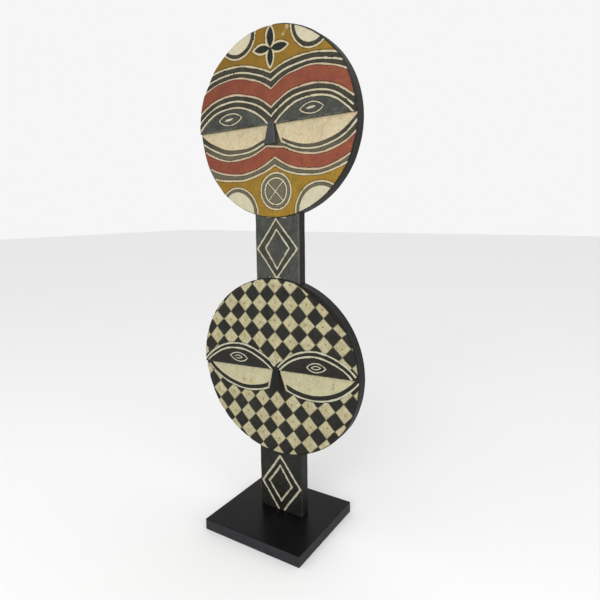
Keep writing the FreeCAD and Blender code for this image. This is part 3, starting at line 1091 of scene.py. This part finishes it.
def black_lacquer(name, lacquer):
    """Gloss black on the top of the base, duller and streaked on its sides and underside."""
    shade = Shade(name)
    cloud = shade.noise(14, 4.0, 0.55)
    streaks = shade.noise(1.0, 4.0, 0.6, shade.stretched(60, 420, 420))
    along = shade.noise(1.0, 4.0, 0.65, shade.stretched(30, 30, 700))
    dust = shade.noise(900, 2.0, 0.5).ramp(0.66, 0.76)
    height = shade.add("ShaderNodeSeparateXYZ", inputs={"Vector": shade.here()}, output="Z")
    edge = 1 - height.ramp(0.0208, 0.0216)
    colour = shade.mix(cloud.ramp(0.3, 0.7), darker(lacquer, 0.8), darker(lacquer, 1.3))
    sides = shade.mix(along.ramp(0.35, 0.7), darker(lacquer, 4.5), darker(lacquer, 9.0))
    colour = shade.mix(edge, colour, sides)
    colour = shade.mix(dust * 0.3, colour, darker(lacquer, 9))
    roughness = 0.20 + streaks * 0.12 + cloud * 0.08 + edge * 0.2
    normal = shade.bump(streaks + along * edge * 2.0, 0.00012, 0.6)
    return shade.finish(Base_Color=colour, Roughness=roughness, Normal=normal, Specular_IOR_Level=LACQUER_GLOSS)


def zinc_plate(name, steel):
    """Plated steel of the screws."""
    shade = Shade(name)
    cloud = shade.noise(500, 4.0, 0.6)
    colour = shade.mix(cloud.ramp(0.3, 0.7), rgb(steel), darker(steel, 0.7))
    return shade.finish(Base_Color=colour, Roughness=0.3 + cloud * 0.2, Metallic=1.0,
                        Normal=shade.bump(cloud, 0.00005, 0.5))


# ---------------------------------------------------------------------------------------------------------
# Settings


def length_property(name, description, millimetres):
    return bpy.props.FloatProperty(name=name, description=description, subtype="DISTANCE", unit="LENGTH",
                                   min=0, precision=5, default=millimetres * MM)


def colour_property(name, description, default):
    return bpy.props.FloatVectorProperty(name=name, description=description, subtype="COLOR",
                                         size=3, min=0, max=1, default=default)


class MaskCarvingSettings(bpy.types.PropertyGroup):
    """Sizes of the cuts and of the rounded edges."""

    upper_line: length_property("Upper lines", "Half the width of the cream in the cuts of the upper face", 1.6)
    upper_depth: length_property("Upper cuts", "Depth of the cuts of the upper face", 1.25)
    lower_line: length_property("Lower lines", "Half the width of the cream in the cuts of the lower face", 1.7)
    lower_depth: length_property("Lower cuts", "Depth of the cuts of the lower face", 1.1)
    check_gap: length_property("Check gap", "Bare strip round each cream check", 0.9)
    neck_line: length_property("Neck lines", "Half the width of the cream in the cuts of the neck", 1.55)
    foot_line: length_property("Foot lines", "Half the width of the cream in the cuts of the foot", 2.15)
    rim_round: length_property("Rim rounding", "Radius of the front edge of the discs", 3.0)
    lid_round: length_property("Lid rounding", "Radius of the step along the eyes", 2.6)
    back_arris: length_property("Back arris", "Radius of the edges of the back", 1.4)
    paint_lap: length_property("Paint lap", "How far in from the edge of the back its paint is drawn", 10.0)


def carving_sizes():
    """The carving settings in millimetres."""
    settings = bpy.context.scene.mask_carving
    names = MaskCarvingSettings.__annotations__
    return SimpleNamespace(**{name: getattr(settings, name) / MM for name in names})


class MaskPaintSettings(bpy.types.PropertyGroup):
    """Colours of the paints and metals."""

    # The charcoal and the neck black are lighter than the black and the foot black: partly dust, partly painted
    # sheen and painted light, which fall more on the upper parts.
    charcoal: colour_property("Charcoal", "Eyelids of the upper face", (0.040, 0.042, 0.035))
    band: colour_property("Band black", "Bands and petals of the upper face", (0.030, 0.028, 0.0185))
    black: colour_property("Black", "Ground colour of the lower face and the rims", (0.013, 0.0125, 0.010))
    neck: colour_property("Neck black", "Paint of the neck", (0.040, 0.042, 0.035))
    foot: colour_property("Foot black", "Paint of the foot", (0.011, 0.012, 0.009))
    brown: colour_property("Brown black", "Between the diamonds of the foot", (0.0125, 0.0105, 0.0075))
    nose: colour_property("Nose black", "Smooth black of the upper nose", (0.031, 0.032, 0.033))
    cream: colour_property("Cream", "Chalky paint of the upper face", (0.535, 0.46, 0.295))
    line: colour_property("Grey cream", "Chalky paint of the lower face and the posts", (0.48, 0.44, 0.28))
    pale: colour_property("Pale lines", "Greyer cream in the cut lines", (0.47, 0.455, 0.345))
    peck: colour_property("Pecks", "Yellow-brown dirt in the middle of the checks", (0.33, 0.255, 0.105))
    thin: colour_property("Thin cream", "Where the cream of the lower face is thin", (0.43, 0.375, 0.225))
    drab: colour_property("Drab", "Dirt in the cream of the lower face", (0.275, 0.245, 0.135))
    blush: colour_property("Blush", "Warm blotches in the cream", (0.52, 0.40, 0.25))
    stain: colour_property("Stain", "Where the cream is thin or dirty", (0.30, 0.235, 0.12))
    red: colour_property("Red", "Brick red bands", (0.236, 0.060, 0.036))
    red_warm: colour_property("Warm red", "Where the red is thick", (0.262, 0.074, 0.031))
    ochre: colour_property("Ochre", "Mustard fields at the brow and the chin", (0.27, 0.168, 0.020))
    ochre_warm: colour_property("Warm ochre", "Where the ochre is thick", (0.312, 0.162, 0.015))
    wood: colour_property("Wood", "Bare wood of the back", (0.17, 0.095, 0.045))
    lacquer: colour_property("Lacquer", "Gloss black of the base board", (0.004, 0.004, 0.0045))
    steel: colour_property("Steel", "Plating of the fixing screws", (0.6, 0.6, 0.58))


class MaskStageSettings(bpy.types.PropertyGroup):
    """Camera and light of the studio."""

    eye: bpy.props.FloatVectorProperty(name="Camera", description="Where the camera stands",
                                       subtype="TRANSLATION", unit="LENGTH", default=(0.5425, -0.7760, 0.6263))
    turn: bpy.props.FloatProperty(name="Turn", description="Camera's turn to the left about the upright",
                                  subtype="ANGLE", default=math.radians(32.19))
    tip: bpy.props.FloatProperty(name="Tip", description="How far the camera looks down", subtype="ANGLE",
                                 default=math.radians(10.08))
    roll: bpy.props.FloatProperty(name="Roll", description="Camera's roll about its own view",
                                  subtype="ANGLE", default=math.radians(-0.60))
    lens: bpy.props.FloatProperty(name="Lens", description="Focal length on a 36 mm sensor", default=30.38)
    key_power: bpy.props.FloatProperty(name="Key light", description="Power of the large front light",
                                       subtype="POWER", default=32.0)
    fill_power: bpy.props.FloatProperty(name="Fill light", description="Power of the side light",
                                        subtype="POWER", default=8.0)
    sky: bpy.props.FloatProperty(name="Sky", description="Strength of the even light all round", default=0.92)


# ---------------------------------------------------------------------------------------------------------
# Operators


class MASK_OT_stage(bpy.types.Operator):
    """Set up the floor, the soft lights and the camera."""

    bl_idname = "mask.stage"
    bl_label = "Studio"

    def execute(self, context):
        stage = context.scene.mask_stage
        build_floor()
        build_lights(stage)
        build_camera(stage)
        context.scene.view_settings.view_transform = "Standard"
        return {"FINISHED"}


FLOOR_SIZE = 24
FRONT_LIGHT_PLACE, FRONT_LIGHT_SIZE = (0.6, -2.5, 1.5), (1.5, 1.5)
SIDE_LIGHT_PLACE, SIDE_LIGHT_SIZE = (2.6, -0.9, 1.3), (1.2, 2.0)
SENSOR_WIDTH = 36.0


def build_floor():
    deselect_everything()
    bpy.ops.mesh.primitive_plane_add(size=FLOOR_SIZE)
    floor = bpy.context.active_object
    floor.name = "studio_floor"
    shade = Shade("Pale floor")
    cloud = shade.noise(3, 2.0, 0.5)
    colour = shade.mix(cloud, (0.86, 0.86, 0.86, 1), (0.88, 0.88, 0.88, 1))
    floor.data.materials.append(shade.finish(Base_Color=colour, Roughness=0.9, Specular_IOR_Level=0.1))


def area_light(name, place, target, size, power):
    bpy.ops.object.light_add(type="AREA", location=place)
    light = bpy.context.active_object
    light.name = name
    light.data.shape = "RECTANGLE"
    light.data.size, light.data.size_y = size
    light.data.energy = power
    light.rotation_euler = (Vector(target) - light.location).to_track_quat("-Z", "Y").to_euler()


def build_lights(stage):
    middle = (0, 0, (CAD_LOW.z + CAD_HIGH.z) / 2)
    area_light("Front light", FRONT_LIGHT_PLACE, middle, FRONT_LIGHT_SIZE, stage.key_power)
    area_light("Side light", SIDE_LIGHT_PLACE, middle, SIDE_LIGHT_SIZE, stage.fill_power)
    world = bpy.data.worlds.new("Studio sky")
    world.use_nodes = True
    sky = world.node_tree.nodes["Background"]
    sky.inputs["Color"].default_value = (1, 1, 1, 1)
    sky.inputs["Strength"].default_value = stage.sky
    bpy.context.scene.world = world


def build_camera(stage):
    camera = bpy.data.objects.new("Camera", bpy.data.cameras.new("Camera"))
    bpy.context.scene.collection.objects.link(camera)
    camera.data.sensor_width = SENSOR_WIDTH
    camera.data.lens = stage.lens
    turned = Matrix.Rotation(stage.turn, 4, "Z")
    tipped = Matrix.Rotation(math.pi / 2 - stage.tip, 4, "X")
    rolled = Matrix.Rotation(stage.roll, 4, "Z")
    camera.matrix_world = Matrix.Translation(stage.eye) @ turned @ tipped @ rolled
    bpy.context.scene.camera = camera


class MASK_OT_upper_face(bpy.types.Operator):
    """Carve and paint the upper disc: brow, cheeks and nose."""

    bl_idname = "mask.upper_face"
    bl_label = "Upper face"

    def execute(self, context):
        paint = context.scene.mask_paint
        place = upper_disc_place()
        coat = painted_face("Upper face paint", paint.band, paint.cream, UPPER_SIDE, paint, True)
        for name, above in (("upper_mask_brow", True), ("upper_mask_cheeks", False)):
            build_half_disc(name, place, upper_face, UPPER_EYE_LINE, above, coat)
        nose_coat = satin_black("Upper nose black", paint.nose, UPPER_NOSE_GLOSS)
        build_nose("upper_mask_nose", place, UPPER_NOSE, nose_coat)
        build_disc_back("upper_mask_back", place, plank_back("Upper back", UPPER_SIDE, paint))
        return {"FINISHED"}


class MASK_OT_lower_face(bpy.types.Operator):
    """Carve and paint the lower disc: brow, cheeks and nose."""

    bl_idname = "mask.lower_face"
    bl_label = "Lower face"

    def execute(self, context):
        paint = context.scene.mask_paint
        place = lower_disc_place()
        coat = painted_face("Lower face paint", paint.black, paint.line, LOWER_SIDE, paint, False)
        for name, above in (("lower_mask_brow", True), ("lower_mask_cheeks", False)):
            build_half_disc(name, place, lower_face, LOWER_EYE_LINE, above, coat)
        nose_coat = satin_black("Lower nose black", darker(paint.foot, LOWER_NOSE_SHARE), LOWER_NOSE_GLOSS)
        build_nose("lower_mask_nose", place, LOWER_NOSE, nose_coat)
        build_disc_back("lower_mask_back", place, plank_back("Lower back", LOWER_SIDE, paint))
        return {"FINISHED"}


class MASK_OT_posts(bpy.types.Operator):
    """Cut and paint the neck and the foot."""

    bl_idname = "mask.posts"
    bl_label = "Neck and foot"

    def execute(self, context):
        paint = context.scene.mask_paint
        sizes = carving_sizes()
        lower = lower_disc_place()
        lower_top = lower.centre[1] + lower.size[1] / 2
        lower_foot = lower.centre[1] - lower.size[1] / 2
        neck_coat = painted_post("Neck paint", paint.neck, paint.band, NECK_SIDE, paint)
        build_post("neck_post", NECK_WIDTH, lower_top - POST_REACH, lower_top + NECK_HEIGHT + POST_REACH,
                   NECK_PATTERN, sizes.neck_line, neck_coat)
        foot_coat = painted_post("Foot paint", paint.foot, paint.brown, FOOT_SIDE, paint)
        build_post("foot_post", FOOT_WIDTH, BASE_TOP_Z, lower_foot + POST_REACH,
                   FOOT_PATTERN, sizes.foot_line, foot_coat)
        return {"FINISHED"}


class MASK_OT_stand(bpy.types.Operator):
    """Finish the base board and the screws."""

    bl_idname = "mask.stand"
    bl_label = "Stand"

    def execute(self, context):
        paint = context.scene.mask_paint
        finishes = {
            "base_board": black_lacquer("Base lacquer", paint.lacquer),
            "fixing_screws": zinc_plate("Screw plating", paint.steel),
        }
        for node, material in finishes.items():
            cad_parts[node].material_slots[0].material = material
        return {"FINISHED"}


OPERATORS = (MASK_OT_stage, MASK_OT_upper_face, MASK_OT_lower_face, MASK_OT_posts, MASK_OT_stand)


class MASK_PT_panel(bpy.types.Panel):
    """Lists the steps that make the mask."""

    bl_label = "Disc mask"
    bl_idname = "MASK_PT_panel"
    bl_space_type = "VIEW_3D"
    bl_region_type = "UI"
    bl_category = "Mask"

    def draw(self, context):
        for operator in OPERATORS:
            self.layout.operator(operator.bl_idname)


CLASSES = (MaskCarvingSettings, MaskPaintSettings, MaskStageSettings) + OPERATORS + (MASK_PT_panel,)


def register():
    for item in CLASSES:
        bpy.utils.register_class(item)
    bpy.types.Scene.mask_carving = bpy.props.PointerProperty(type=MaskCarvingSettings)
    bpy.types.Scene.mask_paint = bpy.props.PointerProperty(type=MaskPaintSettings)
    bpy.types.Scene.mask_stage = bpy.props.PointerProperty(type=MaskStageSettings)


def unregister():
    del bpy.types.Scene.mask_stage
    del bpy.types.Scene.mask_paint
    del bpy.types.Scene.mask_carving
    for item in reversed(CLASSES):
        bpy.utils.unregister_class(item)


def main():
    register()
    bpy.ops.mask.stage()
    bpy.ops.mask.upper_face()
    bpy.ops.mask.lower_face()
    bpy.ops.mask.posts()
    bpy.ops.mask.stand()


if __name__ == "__main__":
    main()
